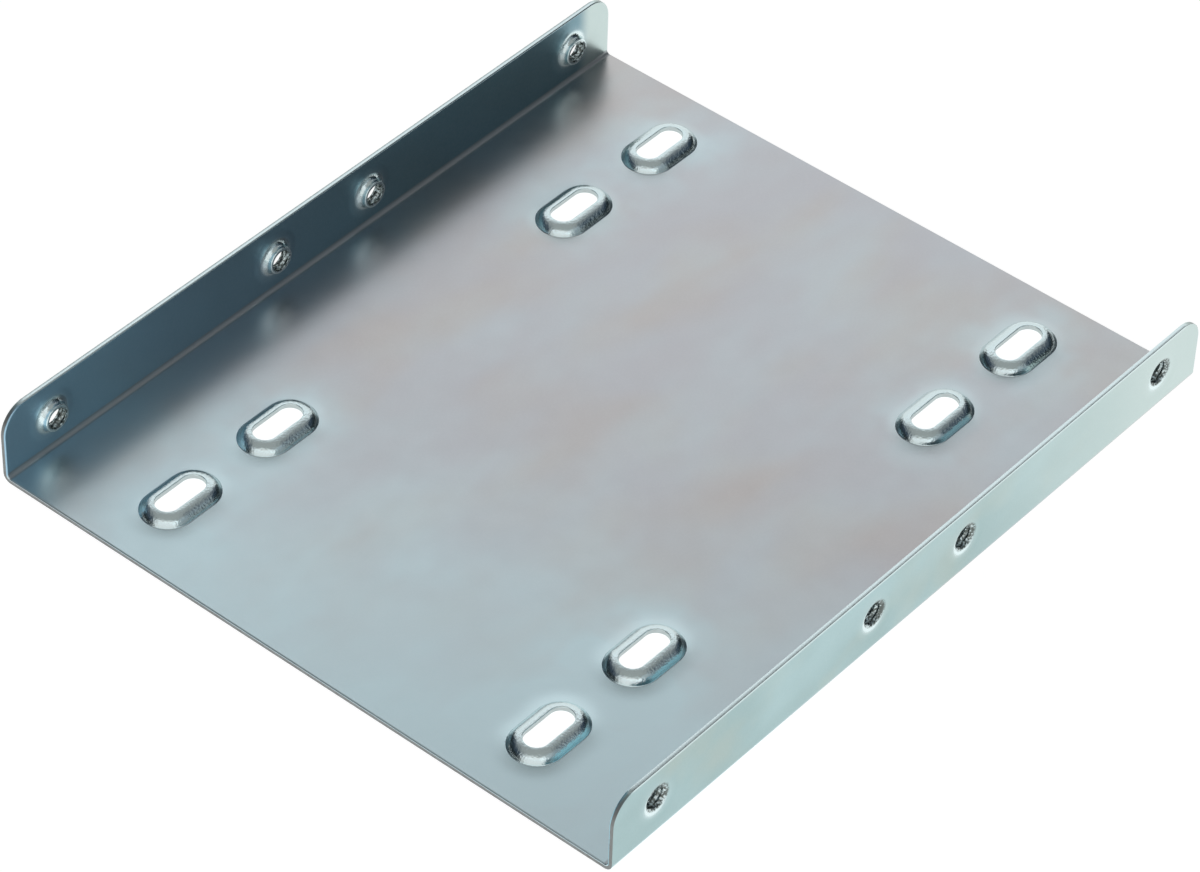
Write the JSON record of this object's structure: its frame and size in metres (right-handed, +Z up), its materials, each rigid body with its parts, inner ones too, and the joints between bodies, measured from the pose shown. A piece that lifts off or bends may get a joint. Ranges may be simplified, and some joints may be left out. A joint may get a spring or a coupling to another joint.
{
  "type": "drive bay adapter bracket",
  "caption": "Shallow folded sheet-steel tray with slotted raised seats for a small drive and threaded collars along both flanges for fixing it in a larger drive bay.",
  "frame": {"origin": "middle of the plate's underside", "axes": "+X along the flanges, +Y across the plate, +Z up from the plate towards the flanges' edges"},
  "size_m": [0.118, 0.1016, 0.0114],
  "materials": {
    "zinc_sheet": "semi-gloss zinc plating with a blue passivated tint"
  },
  "bodies": {
    "root": {"bracket": "zinc_sheet"}
  },
  "joints": []
}
